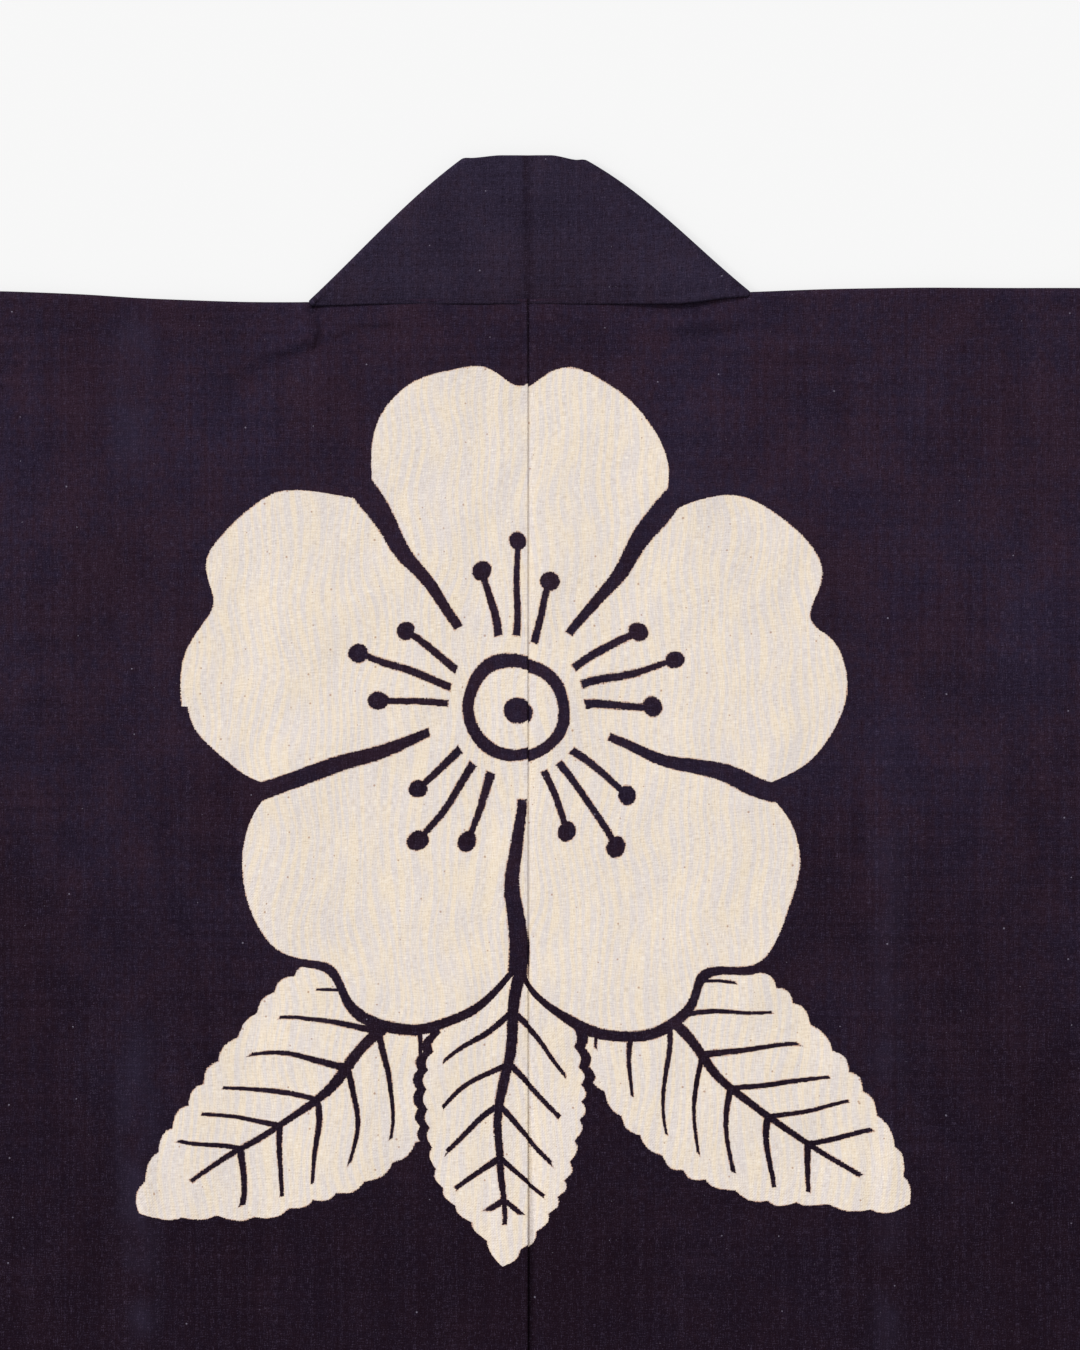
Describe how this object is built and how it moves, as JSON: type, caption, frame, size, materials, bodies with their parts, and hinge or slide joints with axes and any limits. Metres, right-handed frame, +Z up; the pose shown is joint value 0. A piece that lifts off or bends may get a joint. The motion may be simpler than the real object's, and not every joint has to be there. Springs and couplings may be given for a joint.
{
  "type": "happi coat",
  "caption": "Straight-sleeved indigo cotton happi coat laid flat with its back up: body lengths joined at the centre back, folded sleeves and a doubled collar band from hem to hem.",
  "frame": {"origin": "on the surface that the coat lies on, under the middle of its outline", "axes": "+X across the back from the wearer's left to right, +Y from the hem to the collar, +Z up out of the back"},
  "size_m": [1.26, 0.9007, 0.0051],
  "materials": {
    "indigo_cotton": "plain-woven cotton, dark indigo, with a cream resist-dyed blossom on the back",
    "collar_cotton": "plain-woven cotton, dark indigo, a little bluer than the body",
    "sewing_thread": "matt indigo sewing thread"
  },
  "bodies": {
    "root": {"body_left": "indigo_cotton", "body_right": "indigo_cotton", "sleeve_left": "indigo_cotton", "sleeve_right": "indigo_cotton", "collar": "collar_cotton"}
  },
  "joints": []
}
